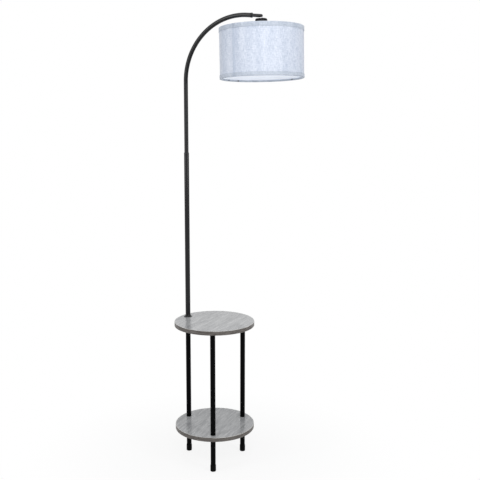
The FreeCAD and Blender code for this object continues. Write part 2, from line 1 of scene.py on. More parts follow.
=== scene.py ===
"""Looks of an arc floor lamp whose pole rises from a round side table.

The frame gives every piece at its real size and place, in metres. This script gives those pieces their
finishes, makes the shade's cloth, its folded hems and the welds of its wire frame, and sets the stage.
"""

import json
import math

import bmesh
import bpy
from bpy.props import FloatProperty, FloatVectorProperty, IntProperty, PointerProperty
from mathutils import Matrix, Vector


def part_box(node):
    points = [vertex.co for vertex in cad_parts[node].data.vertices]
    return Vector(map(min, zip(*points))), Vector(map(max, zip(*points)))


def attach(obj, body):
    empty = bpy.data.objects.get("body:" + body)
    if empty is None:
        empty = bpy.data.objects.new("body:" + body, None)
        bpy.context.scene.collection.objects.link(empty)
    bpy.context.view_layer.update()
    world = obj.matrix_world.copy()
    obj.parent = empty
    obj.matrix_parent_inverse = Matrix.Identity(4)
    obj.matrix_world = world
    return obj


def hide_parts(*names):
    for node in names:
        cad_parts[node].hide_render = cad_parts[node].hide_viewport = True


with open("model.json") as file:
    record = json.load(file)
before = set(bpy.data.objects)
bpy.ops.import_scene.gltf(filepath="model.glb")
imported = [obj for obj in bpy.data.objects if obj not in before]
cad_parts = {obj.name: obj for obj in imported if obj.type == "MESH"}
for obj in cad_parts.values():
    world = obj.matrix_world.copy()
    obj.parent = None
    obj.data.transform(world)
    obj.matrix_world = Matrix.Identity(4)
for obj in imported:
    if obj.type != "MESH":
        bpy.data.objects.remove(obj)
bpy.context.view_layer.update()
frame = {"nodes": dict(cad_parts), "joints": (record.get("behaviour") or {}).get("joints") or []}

bl_info = {
    "name": "Arc Lamp With Table",
    "version": (1, 0, 0),
    "blender": (4, 5, 0),
    "location": "3D View > Sidebar > Arc Lamp",
    "description": "Gives an arc floor lamp with a side table its paint, boards, linen shade and studio",
    "category": "Object",
}

MM = 0.001
# The size of a pattern, in millimetres, along an axis on which it hardly changes.
THROUGH = 1000.0


# ---------------------------------------------------------------- places worked out from the frame
def box_centre(node):
    low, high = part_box(node)
    return (low + high) / 2


def joint(name):
    return next(item for item in frame["joints"] if item["name"] == name)


def head_matrix():
    """The lamp head's own frame: its origin at the knuckle, Z up the shade's axis, Y along the hinge."""
    up = (box_centre("shade_fabric") - box_centre("shade_bottom_hem")).normalized()
    across = Vector(joint("switch_turn")["axis"]).cross(up).normalized()
    place = Matrix((across, up.cross(across), up)).transposed().to_4x4()
    place.translation = Vector(joint("head_tilt")["pos_m"])
    return place


HEAD = head_matrix()
TABLE_AXIS = box_centre("tabletop_board")


def head_reach(node):
    """Least and most radius, then lowest and highest place, of a head's piece in the head's own frame."""
    inverse = HEAD.inverted()
    points = [inverse @ vertex.co for vertex in frame["nodes"][node].data.vertices]
    radii = [math.hypot(point.x, point.y) for point in points]
    heights = [point.z for point in points]
    return min(radii), max(radii), min(heights), max(heights)


def head_angle(world_degrees):
    """The angle about the head's axis of a horizontal direction, given in degrees from X."""
    turn = math.radians(world_degrees)
    local = HEAD.to_3x3().inverted() @ Vector((math.cos(turn), math.sin(turn), 0))
    return math.atan2(local.y, local.x)


def linear(red, green, blue):
    """A colour in the 0 to 255 steps of a screen, as the linear shares that a shader takes."""

    def share(step):
        level = step / 255
        return level / 12.92 if level <= 0.04045 else ((level + 0.055) / 1.055) ** 2.4

    return share(red), share(green), share(blue)


# ---------------------------------------------------------------- node graphs
class Val:
    """A node's output that takes part in sums: an expression on values adds its Math nodes."""

    def __init__(self, graph, socket):
        self.graph = graph
        self.socket = socket

    def out(self, output):
        """Another output of the same node, by its name or number."""
        return Val(self.graph, self.socket.node.outputs[output])

    def combined(self, operation, first, second):
        return self.graph.add("ShaderNodeMath", {"operation": operation}, {0: first, 1: second})

    def __add__(self, other):
        return self.combined("ADD", self, other)

    def __radd__(self, other):
        return self.combined("ADD", other, self)

    def __sub__(self, other):
        return self.combined("SUBTRACT", self, other)

    def __rsub__(self, other):
        return self.combined("SUBTRACT", other, self)

    def __mul__(self, other):
        return self.combined("MULTIPLY", self, other)

    def __rmul__(self, other):
        return self.combined("MULTIPLY", other, self)

    def __truediv__(self, other):
        return self.combined("DIVIDE", self, other)

    def __rtruediv__(self, other):
        return self.combined("DIVIDE", other, self)

    def __pow__(self, other):
        return self.combined("POWER", self, other)


class Graph:
    """A node tree, and the one way that nodes are added to it."""

    def __init__(self, tree):
        self.tree = tree

    def add(self, kind, settings=None, sockets=None):
        """A node of a kind: its settings first, then the values or links of its sockets."""
        node = self.tree.nodes.new(kind)
        for key, value in (settings or {}).items():
            setattr(node, key, value)
        for key, value in (sockets or {}).items():
            self.feed(node.inputs[key], value)
        return Val(self, node.outputs[0]) if node.outputs else node

    def feed(self, socket, value):
        """Links a value to a socket, or sets it there. A socket that joins many takes a list."""
        if isinstance(value, Val):
            self.tree.links.new(value.socket, socket)
        elif socket.is_multi_input:
            for part in value:
                self.tree.links.new(part.socket, socket)
        elif socket.type == "RGBA" and len(value) == 3:
            socket.default_value = (*value, 1.0)
        else:
            socket.default_value = value

    def noise(self, vector, size, turn=0.0, detail=2.0, roughness=0.5, distortion=0.0):
        """Noise whose features have one size, in millimetres, or three along X, Y and Z turned about Z."""
        lengths = size if isinstance(size, tuple) else (size, size, size)
        placed = self.add("ShaderNodeMapping", {"vector_type": "TEXTURE"}, {
            "Vector": vector, "Rotation": (0.0, 0.0, turn), "Scale": [MM * length for length in lengths]})
        return self.add("ShaderNodeTexNoise", {}, {
            "Vector": placed, "Scale": 1.0, "Detail": detail, "Roughness": roughness,
            "Distortion": distortion})

    def span(self, value, start, end, low=0.0, high=1.0, smooth=False):
        """Low at start, high at end, and held beyond them."""
        settings = {"interpolation_type": "SMOOTHSTEP" if smooth else "LINEAR", "clamp": True}
        limits = {"Value": value, "From Min": start, "From Max": end, "To Min": low, "To Max": high}
        return self.add("ShaderNodeMapRange", settings, limits)

    def one(self, operation, *values):
        """A single Math node, for what Python has no operator for."""
        return self.add("ShaderNodeMath", {"operation": operation}, dict(enumerate(values)))


# A Mix node has sockets of one name for each type, so those for colours go by number.
MIX_A, MIX_B, MIX_RESULT = 6, 7, 2


class Finish(Graph):
    """A material round one Principled shader, whose uniform values are set on its own sockets."""

    def __init__(self, name, uniform=None):
        self.material = bpy.data.materials.new(name)
        self.material.use_nodes = True
        super().__init__(self.material.node_tree)
        self.shader = self.tree.nodes["Principled BSDF"]
        for socket, value in (uniform or {}).items():
            self.set(socket, value)

    def set(self, socket, value):
        self.feed(self.shader.inputs[socket], value)

    def place(self):
        return self.add("ShaderNodeTexCoord").out("Object")

    def cloth_place(self):
        return self.add("ShaderNodeTexCoord").out("UV")

    def mix(self, factor, first, second):
        """One colour going over to another."""
        mixed = self.add("ShaderNodeMix", {"data_type": "RGBA"}, {0: factor, MIX_A: first, MIX_B: second})
        return mixed.out(MIX_RESULT)

    def bump(self, height, strength, depth):
        """Relief, with its depth in millimetres."""
        sockets = {"Height": height, "Strength": strength, "Distance": MM * depth}
        self.set("Normal", self.add("ShaderNodeBump", {}, sockets))


class Shape(Graph):
    """A geometry tree with named inputs. It ends in Realize Instances and Set Material."""

    def __init__(self, name, inputs):
        super().__init__(bpy.data.node_groups.new(name, "GeometryNodeTree"))
        interface = self.tree.interface
        interface.new_socket(name="Geometry", in_out="OUTPUT", socket_type="NodeSocketGeometry")
        interface.new_socket(name="Geometry", in_out="INPUT", socket_type="NodeSocketGeometry")
        for label, kind in inputs:
            interface.new_socket(name=label, in_out="INPUT", socket_type="NodeSocket" + kind)
        interface.new_socket(name="Material", in_out="INPUT", socket_type="NodeSocketMaterial")
        self.inputs = self.add("NodeGroupInput")

    def given(self, label):
        return self.inputs.out(label)

    def end(self, geometry):
        whole = self.add("GeometryNodeRealizeInstances", {}, {"Geometry": geometry})
        covered = {"Geometry": whole, "Material": self.given("Material")}
        finished = self.add("GeometryNodeSetMaterial", {}, covered)
        self.add("NodeGroupOutput", {}, {"Geometry": finished})
        return self.tree


def made_by(tree, name, start, values):
    """The plain mesh that a geometry tree makes of a starting mesh."""
    source = bpy.data.objects.new(name, start)
    bpy.context.scene.collection.objects.link(source)
    modifier = source.modifiers.new(tree.name, "NODES")
    modifier.node_group = tree
    for item in tree.interface.items_tree:
        if item.in_out == "INPUT" and item.name in values:
            modifier[item.identifier] = values[item.name]
    evaluated = source.evaluated_get(bpy.context.evaluated_depsgraph_get())
    mesh = bpy.data.meshes.new_from_object(evaluated)
    bpy.data.objects.remove(source)
    if not mesh.polygons:
        raise RuntimeError(name + " came out empty")
    return mesh


# ---------------------------------------------------------------- finishes
def fine_paint(name, colour, roughness, specular=0.5):
    """Powder coat: a fine orange peel, and a gloss that drifts a little along a tube or a wire."""
    finish = Finish(name, {"Specular IOR Level": specular})
    place = finish.place()
    drift = finish.noise(place, (50, 50, 120), detail=3.0)
    lighter = [1.35 * share for share in colour]
    finish.set("Base Color", finish.mix(finish.span(drift, 0.35, 0.75), colour, lighter))
    finish.set("Roughness", finish.span(drift, 0.3, 0.7, low=roughness - 0.03, high=roughness + 0.04))
    finish.bump(finish.noise(place, 0.9, detail=1.0), strength=0.1, depth=0.01)
    return finish.material


def gloss_enamel(name, colour):
    """Dipped gloss black, with the faint haze that handling leaves."""
    finish = Finish(name, {"Specular IOR Level": 0.1})
    place = finish.place()
    haze = finish.noise(place, 12, detail=3.0)
    finish.set("Base Color", finish.mix(haze, colour, [1.6 * share for share in colour]))
    finish.set("Roughness", finish.span(haze, 0.3, 0.75, low=0.07, high=0.13))
    finish.bump(finish.noise(place, 2.5), strength=0.08, depth=0.05)
    return finish.material


def moulded(name, colour, roughness, grain=0.5, specular=0.3):
    """Rubber, nylon, phenolic or a lead's jacket, with a mould's grain, whose size is in millimetres."""
    finish = Finish(name, {"Specular IOR Level": specular})
    place = finish.place()
    dust = finish.noise(place, 9, detail=4.0, roughness=0.65)
    bloom = [1.5 * share + 0.001 for share in colour]
    finish.set("Base Color", finish.mix(finish.span(dust, 0.45, 0.8), colour, bloom))
    finish.set("Roughness", finish.span(dust, 0.3, 0.7, low=roughness - 0.08, high=roughness + 0.08))
    finish.bump(finish.noise(place, grain, detail=1.0), strength=0.3, depth=0.04)
    return finish.material


def plated(name, colour, roughness, marks=0.4):
    """Plated or rolled metal: fine tool marks, whose size is in millimetres, and a patchy shine."""
    finish = Finish(name, {"Metallic": 1.0})
    place = finish.place()
    patch = finish.noise(place, 6, detail=3.0)
    darker = [0.8 * share for share in colour]
    finish.set("Base Color", finish.mix(finish.span(patch, 0.35, 0.7), darker, colour))
    finish.set("Roughness", finish.span(patch, 0.3, 0.7, low=roughness, high=roughness + 0.14))
    finish.bump(finish.noise(place, marks, detail=1.0), strength=0.25, depth=0.02)
    return finish.material


def oak_print(name, look):
    """Grey-washed oak laminate: broad bands, fibres and short dark pores along the grain, under satin."""
    finish = Finish(name, {"Specular IOR Level": 0.5})
    place = finish.place()
    turn = look.grain_turn
    bands = finish.noise(place, (130, 16, THROUGH), turn, detail=4.0, roughness=0.6, distortion=0.8)
    flames = finish.noise(place, (60, 5, THROUGH), turn, detail=4.0, roughness=0.65, distortion=1.0)
    fibres = finish.noise(place, (20, 1, THROUGH), turn, detail=2.0, roughness=0.6)
    pores = finish.noise(place, (9, 0.55, THROUGH), turn, detail=0.0)
    tone = 0.4 * bands + 0.35 * flames + 0.25 * fibres
    wash = finish.mix(finish.span(tone, 0.39, 0.61), look.face_dark, look.face_light)
    pitted = finish.span(pores, 0.63, 0.72)
    pore_colour = [0.72 * share for share in look.face_dark]
    pore_share = 0.55
    finish.set("Base Color", finish.mix(pore_share * pitted, wash, pore_colour))
    satin, dull = look.face_roughness, look.face_roughness + 0.05
    finish.set("Roughness", finish.span(tone, 0.35, 0.65, low=dull, high=satin))
    finish.bump(0.5 * fibres - 0.5 * pitted, strength=0.15, depth=0.03)
    return finish.material


def edge_print(name, look):
    """The edge strip: end-grain streaks that run round the board, and a streaky painted highlight along the
    top arris.
    """
    finish = Finish(name, {"Specular IOR Level": 0.4})
    place = finish.place()
    streaks = finish.noise(place, (30, 30, 1.6), detail=3.0, roughness=0.6)
    flecks = finish.noise(place, (6, 6, 0.5), detail=2.0)
    tone = 0.7 * streaks + 0.3 * flecks
    strip = finish.mix(finish.span(tone, 0.4, 0.6), look.edge_dark, look.edge_light)
    facing = finish.add("ShaderNodeNewGeometry").out("Normal")
    rise = finish.add("ShaderNodeSeparateXYZ", {}, {"Vector": facing}).out("Z")
    # Painted highlight: the strip is painted paler where its surface faces up, along the top arris.
    arris = finish.span(rise, 0.5, 0.85, smooth=True)
    arris_highlight = arris * finish.span(tone, 0.3, 0.5, low=0.75, high=1.0)
    finish.set("Base Color", finish.mix(arris_highlight, strip, look.rim))
    finish.set("Roughness", finish.span(tone, 0.35, 0.65, low=0.5, high=0.38))
    finish.bump(tone, strength=0.3, depth=0.12)
    return finish.material


def linen(name, light, dark, look, seam_start, turned=False):
    """Slub linen: a plain weave with thick and thin threads both ways, and painted shade where the seam
    doubles it.
    """
    finish = Finish(name, {
        "Specular IOR Level": look.cloth_gloss, "Sheen Weight": 0.15, "Sheen Roughness": 0.4})
    place = finish.cloth_place()
    pitch, painted_seam_shade = look.thread / MM, 0.55

    def threads(length, width):
        """Streaks along the warp and along the weft. The warp of a turned cloth runs round the shade."""
        up = finish.noise(place, (width, length, THROUGH))
        around = finish.noise(place, (length, width, THROUGH))
        return (around, up) if turned else (up, around)

    warp, weft = threads(14 * pitch, 1.3 * pitch)
    warp_slubs, weft_slubs = threads(24 * pitch, 3.5 * pitch)
    cloud = finish.noise(place, (11, 24, THROUGH), detail=4.0, roughness=0.7)
    axes = finish.add("ShaderNodeSeparateXYZ", {}, {"Vector": place})
    phase = 2 * math.pi / look.thread
    weave = finish.one("SINE", axes.out("X") * phase) * finish.one("SINE", axes.out("Y") * phase)
    # Broad upright bands of painted light and shade, laid at random in the cloth's colour.
    bands = finish.noise(place, (35, 300, THROUGH), detail=1.0)
    tone = 0.22 * warp + 0.18 * weft + 0.17 * warp_slubs + 0.13 * weft_slubs + 0.14 * cloud + 0.16 * bands
    shaded = finish.span(tone + 0.02 * weave, 0.41, 0.59)
    # Painted shade: the cloth is darkened where the seam doubles it, as if less light came through two
    # layers.
    into, seam_end = axes.out("X") - seam_start, look.lap_width
    doubled = finish.span(into, 0.0, MM) * finish.span(into, seam_end - MM, seam_end, low=1.0, high=0.0)
    finish.set("Base Color", finish.mix(shaded * (1 - painted_seam_shade * doubled), dark, light))
    finish.set("Roughness", finish.span(tone, 0.4, 0.6, low=0.62, high=0.5))
    relief = 0.5 * warp + 0.4 * weft + 0.5 * warp_slubs + 0.3 * weft_slubs + 0.12 * weave
    finish.bump(relief, strength=0.55, depth=0.35)
    return finish.material


def liner_sheet(name, colour, glow):
    """White styrene behind the cloth, with painted shade of the weave showing through it.

    Its glow stands for the daylight that comes through cloth and liner.
    """
    finish = Finish(name, {"Specular IOR Level": 0.5, "Emission Color": colour, "Emission Strength": glow})
    place = finish.place()
    # Painted shade: the weave's shadow mottles the liner slightly darker.
    shadow = finish.noise(place, (3, 3, 16), detail=3.0)
    darker = [0.95 * share for share in colour]
    finish.set("Base Color", finish.mix(finish.span(shadow, 0.35, 0.65), darker, colour))
    finish.set("Roughness", finish.span(shadow, 0.3, 0.7, low=0.38, high=0.46))
    finish.bump(finish.noise(place, (8, 8, 20)), strength=0.1, depth=0.1)
    return finish.material


def frosted(name, colour):
    """The bulb's frosted envelope."""
    finish = Finish(name, {"Specular IOR Level": 0.5})
    place = finish.place()
    powder = finish.noise(place, 1.2, detail=3.0)
    greyer = [0.94 * share for share in colour]
    finish.set("Base Color", finish.mix(finish.span(powder, 0.35, 0.65), greyer, colour))
    finish.set("Roughness", finish.span(powder, 0.3, 0.7, low=0.42, high=0.52))
    finish.bump(powder, strength=0.1, depth=0.02)
    return finish.material


# ---------------------------------------------------------------- shapes
def cloth_ring_tree():
    """A cloth profile swept round a ring: its wall ripples, its lap stands proud, its free edge wanders."""
    lap_rise, fade_from, skin_start, skin_end = 1.3 * MM, 0.6, 0.6 * MM, 0.1 * MM
    strays_per_metre, edge_depth = 70.0, 3 * MM
    floats = [
        "Radius", "Ripple", "Ripple Size", "Lap Angle", "Lap Width", "Lap Height", "Free Edge", "Wander"]
    shape = Shape("cloth_ring", [("Segments", "Int")] + [(label, "Float") for label in floats])
    radius = shape.given("Radius")
    ring = {"Resolution": shape.given("Segments"), "Radius": radius}
    circle = shape.add("GeometryNodeCurvePrimitiveCircle", {"mode": "RADIUS"}, ring)
    profile = shape.add("GeometryNodeMeshToCurve", {}, {"Mesh": shape.given("Geometry")})
    swept = shape.add("GeometryNodeCurveToMesh", {}, {"Curve": circle, "Profile Curve": profile})

    position = shape.add("GeometryNodeInputPosition")
    axes = shape.add("ShaderNodeSeparateXYZ", {}, {"Vector": position})
    x, y, z = axes.out("X"), axes.out("Y"), axes.out("Z")
    reach = (x * x + y * y) ** 0.5

    size = shape.given("Ripple Size")
    wide = {"Vector": position, "Scale": 1.0 / size, "Detail": 1.0}
    ripple = shape.span(shape.add("ShaderNodeTexNoise", {}, wide), 0.3, 0.7) * shape.given("Ripple")

    turn = shape.one("ARCTAN2", y, x) - shape.given("Lap Angle")
    along = shape.one("WRAP", turn, math.pi, -math.pi) * radius
    width = shape.given("Lap Width")
    faded = shape.span(along, fade_from * width, width, smooth=True)
    raised = shape.span(along, 0.0, lap_rise) * (1 - faded)
    outside = shape.span(reach, radius - skin_start, radius - skin_end)
    lap = raised * outside * shape.given("Lap Height")

    fine = {"Vector": position, "Scale": strays_per_metre, "Detail": 1.0}
    stray = shape.span(shape.add("ShaderNodeTexNoise", {}, fine), 0.3, 0.7, low=-1.0, high=1.0)
    edge_distance = shape.one("ABSOLUTE", z - shape.given("Free Edge"))
    near_edge = shape.span(edge_distance, 0.0, edge_depth, low=1.0, high=0.0)
    wander = stray * shape.given("Wander") * near_edge

    push = (ripple + lap) / reach
    offset = shape.add("ShaderNodeCombineXYZ", {}, {"X": x * push, "Y": y * push, "Z": wander})
    moved = shape.add("GeometryNodeSetPosition", {}, {"Geometry": swept, "Offset": offset})
    return shape.end(moved)


def weld_tree():
    """A small flattened bead of weld at each rod, where it meets the hub and where it meets the top ring."""
    floats = ["Hub Radius", "Hub Height", "Ring Radius", "Ring Height", "First Angle", "Bead"]
    shape = Shape("weld_beads", [("Rods", "Int")] + [(label, "Float") for label in floats])
    ball = {"Segments": 14, "Rings": 8, "Radius": shape.given("Bead")}
    bead = shape.add("GeometryNodeMeshUVSphere", {}, ball)
    flattened = (1.15, 1.15, 0.8)
    flat = shape.add("GeometryNodeTransform", {}, {"Geometry": bead, "Scale": flattened})
    groups = []
    for spot in ("Hub", "Ring"):
        ring = {"Vertices": shape.given("Rods"), "Radius": shape.given(spot + " Radius")}
        points = shape.add("GeometryNodeMeshCircle", {"fill_type": "NONE"}, ring)
        lift = shape.add("ShaderNodeCombineXYZ", {}, {"Z": shape.given(spot + " Height")})
        turn = shape.add("ShaderNodeCombineXYZ", {}, {"Z": shape.given("First Angle")})
        place = {"Geometry": points, "Translation": lift, "Rotation": turn}
        spots = shape.add("GeometryNodeTransform", {}, place)
        groups.append(shape.add("GeometryNodeInstanceOnPoints", {}, {"Points": spots, "Instance": flat}))
    return shape.end(shape.add("GeometryNodeJoinGeometry", {}, {"Geometry": groups}))


def profile_mesh(name, outline, radius):
    """A closed outline of (radius, height) points, laid out as the ring tree sweeps it."""
    mesh = bpy.data.meshes.new(name)
    points = [(reach - radius, -height, 0.0) for reach, height in outline]
    count = len(points)
    mesh.from_pydata(points, [(k, (k + 1) % count) for k in range(count)], [])
    return mesh


def arc_points(centre, radius, start, end, steps=4):
    """Points on an arc about a centre, between two directions in degrees."""
    turns = [math.radians(start + (end - start) * k / steps) for k in range(steps + 1)]
    return [(centre[0] + radius * math.cos(turn), centre[1] + radius * math.sin(turn)) for turn in turns]


def wall_outline(outer, inner, low, high, rows):
    """A straight cloth wall, its long sides cut into rows."""
    heights = [low + (high - low) * k / rows for k in range(rows + 1)]
    return [(outer, height) for height in reversed(heights)] + [(inner, height) for height in heights]


def hem_outline(outer, band_inner, lip, lip_thickness, band, lip_depth):
    """A strip folded over a rim at height 0: the band hangs outside, the lip inside, both below 0.

    The points run from the band's free edge up the outside, over the rim, down to the lip's end and back
    along the strip's inner side.
    """
    roll = 2.4 * MM
    tip = (outer - band_inner) / 2
    outline = arc_points((outer - tip, -band + tip), tip, -90, 0)
    outline += arc_points((outer - roll, -roll), roll, 0, 90)
    outline += arc_points((lip + roll, -roll), roll, 90, 180)
    end = lip_thickness / 2
    outline += arc_points((lip + end, -lip_depth + end), end, 180, 360)
    inner_roll = roll - lip_thickness
    outline += arc_points((lip + roll, -roll), inner_roll, 180, 90)
    inside_drop = outer - band_inner
    outline += arc_points((band_inner - inner_roll, -inside_drop - inner_roll), inner_roll, 90, 0)
    outline += arc_points((outer - tip, -band + tip), tip, 180, 225, steps=1)
    return outline


def cloth_uv(mesh, radius):
    """Lays the cloth out flat, in metres: U round the ring, V up the wall and over the fold."""
    layer = mesh.uv_layers.new(name="cloth")
    for face in mesh.polygons:
        corners = [(loop, mesh.vertices[mesh.loops[loop].vertex_index].co) for loop in face.loop_indices]
        turns = [math.atan2(point.y, point.x) for _, point in corners]
        wraps = max(turns) - min(turns) > math.pi
        for (loop, point), turn in zip(corners, turns):
            if wraps and turn < 0:
                turn += 2 * math.pi
            layer.data[loop].uv = (turn * radius, point.z - math.hypot(point.x, point.y))


def smoothed(mesh, angle=38.0):
    """Smooth shading with sharp edges kept, and faces that point outwards."""
    shell = bmesh.new()
    shell.from_mesh(mesh)
    if shell.calc_volume(signed=True) < 0:
        bmesh.ops.reverse_faces(shell, faces=shell.faces)
    shell.to_mesh(mesh)
    shell.free()
    mesh.shade_smooth()
    mesh.set_sharp_from_angle(angle=math.radians(angle))


def head_piece(name, mesh, slot, *nodes):
    """A finished piece of the head: its place goes into its mesh, and it rides on the head."""
    mesh.name = name
    mesh.transform(HEAD)
    piece = bpy.data.objects.new(name, mesh)
    bpy.context.scene.collection.objects.link(piece)
    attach(piece, "head")
    if nodes:
        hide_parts(*nodes)
    return piece


def finish_nodes(material, *nodes):
    """Gives pieces of the frame their finish."""
    for name in nodes:
        piece = frame["nodes"][name]
        if not piece.material_slots:
            piece.data.materials.append(material)
        for slot in piece.material_slots:
            slot.material = material


def leg_nodes(kind):
    return [kind + "_" + leg for leg in ("front", "right", "rear")]


# ---------------------------------------------------------------- sizes and colours that a user would change
class PaintLook(bpy.types.PropertyGroup):
    """The powder coat on the legs, the pole, the arm and their fittings."""

    colour: FloatVectorProperty(
        name="Paint", description="Colour of the powder coat on the tubes", subtype="COLOR",
        size=3, min=0.0, max=1.0, default=(0.004, 0.0043, 0.0052))
    roughness: FloatProperty(
        name="Roughness", description="How satin the powder coat is", subtype="FACTOR",
        min=0.08, max=0.9, default=0.12)
    gloss: FloatProperty(
        name="Gloss", description="Reflection of the pole, the arm and their fittings", subtype="FACTOR",
        min=0.0, max=1.0, default=0.28)
    # Painted shade: the legs reflect less than the pole, for the boards' shadow.
    leg_gloss: FloatProperty(
        name="Leg gloss", description="Reflection of the legs, which stand in the boards' shadow",
        subtype="FACTOR", min=0.0, max=1.0, default=0.04)


class BoardLook(bpy.types.PropertyGroup):
    """The tabletop and the shelf."""

    face_light: FloatVectorProperty(
        name="Light wash", description="Palest grey of the boards' faces", subtype="COLOR",
        size=3, min=0.0, max=1.0, default=(0.53, 0.535, 0.54))
    face_dark: FloatVectorProperty(
        name="Dark wash", description="Darkest grey of the boards' faces", subtype="COLOR",
        size=3, min=0.0, max=1.0, default=(0.235, 0.24, 0.25))
    face_roughness: FloatProperty(
        name="Face roughness", description="How satin the laminate is", subtype="FACTOR",
        min=0.05, max=0.9, default=0.2)
    grain_turn: FloatProperty(
        name="Grain direction", description="Direction of the grain, from X", subtype="ANGLE",
        unit="ROTATION", default=math.radians(66))
    edge_light: FloatVectorProperty(
        name="Edge light", description="Paler streaks of the edge strip", subtype="COLOR",
        size=3, min=0.0, max=1.0, default=linear(114, 109, 105))
    edge_dark: FloatVectorProperty(
        name="Edge dark", description="Darker streaks of the edge strip", subtype="COLOR",
        size=3, min=0.0, max=1.0, default=linear(56, 50, 47))
    # The arris colour is a painted highlight, laid where the edge strip faces up.
    rim: FloatVectorProperty(
        name="Arris", description="The pale line at the boards' upper arris", subtype="COLOR",
        size=3, min=0.0, max=1.0, default=linear(214, 213, 210))


class ShadeLook(bpy.types.PropertyGroup):
    """The shade's cloth and hems."""

    cloth_light: FloatVectorProperty(
        name="Cloth light", description="Palest threads of the shade", subtype="COLOR",
        size=3, min=0.0, max=1.0, default=linear(226, 231, 242))
    cloth_dark: FloatVectorProperty(
        name="Cloth dark", description="Darkest threads of the shade", subtype="COLOR",
        size=3, min=0.0, max=1.0, default=linear(176, 187, 206))
    # The hems take the cloth's colours, painted darker: painted shade where the doubled cloth lets less light
    # through.
    hem_light: FloatVectorProperty(
        name="Hem light", description="Palest threads of the hems", subtype="COLOR",
        size=3, min=0.0, max=1.0, default=linear(204, 211, 222))
    hem_dark: FloatVectorProperty(
        name="Hem dark", description="Darkest threads of the hems", subtype="COLOR",
        size=3, min=0.0, max=1.0, default=linear(160, 170, 186))
    cloth_gloss: FloatProperty(
        name="Cloth gloss", description="Reflection of the linen's flat threads", subtype="FACTOR",
        min=0.0, max=1.0, default=0.4)
    thread: FloatProperty(
        name="Thread", description="Distance from thread to thread", subtype="DISTANCE", unit="LENGTH",
        min=0.0003, max=0.003, default=0.8 * MM)
    ripple: FloatProperty(
        name="Ripple", description="How far the cloth stands off its liner between gluings",
        subtype="DISTANCE", unit="LENGTH", min=0.0, max=0.002, default=0.35 * MM)
    ripple_size: FloatProperty(
        name="Ripple size", description="How wide a ripple of the cloth is", subtype="DISTANCE",
        unit="LENGTH", min=0.01, max=0.5, default=90 * MM)
    lap_width: FloatProperty(
        name="Lap", description="Width of the upright seam, where the cloth overlaps itself",
        subtype="DISTANCE", unit="LENGTH", min=0.002, max=0.03, default=11 * MM)
    lap_height: FloatProperty(
        name="Lap height", description="How far the lap stands proud", subtype="DISTANCE", unit="LENGTH",
        min=0.0, max=0.002, default=0.45 * MM)
    lap_direction: FloatProperty(
        name="Seam direction", description="Where the seam is on the shade, in degrees from X",
        min=-180.0, max=180.0, default=-133.4)
    segments: IntProperty(
        name="Segments", description="Faces round the shade", min=64, max=1440, default=720)


class StageLook(bpy.types.PropertyGroup):
    """The camera's lens, the softboxes and the room's light."""

    lens: FloatProperty(
        name="Lens", description="Focal length, in millimetres", unit="CAMERA", min=10.0, max=200.0,
        default=58.108)
    left_power: FloatProperty(
        name="Left softbox", description="Power of the tall softbox on the left", unit="POWER", min=0.0,
        default=13.5)
    right_power: FloatProperty(
        name="Right softbox", description="Power of the tall softbox on the right", unit="POWER", min=0.0,
        default=18.0)
    front_power: FloatProperty(
        name="Front softbox", description="Power of the wide softbox above the camera", unit="POWER",
        min=0.0, default=22.0)
    top_power: FloatProperty(
        name="Overhead", description="Power of the overhead softbox", unit="POWER", min=0.0, default=17.0)
    ambient: FloatProperty(
        name="Ambient", description="Brightness of the room to matt surfaces", min=0.0, max=2.0,
        default=0.38)


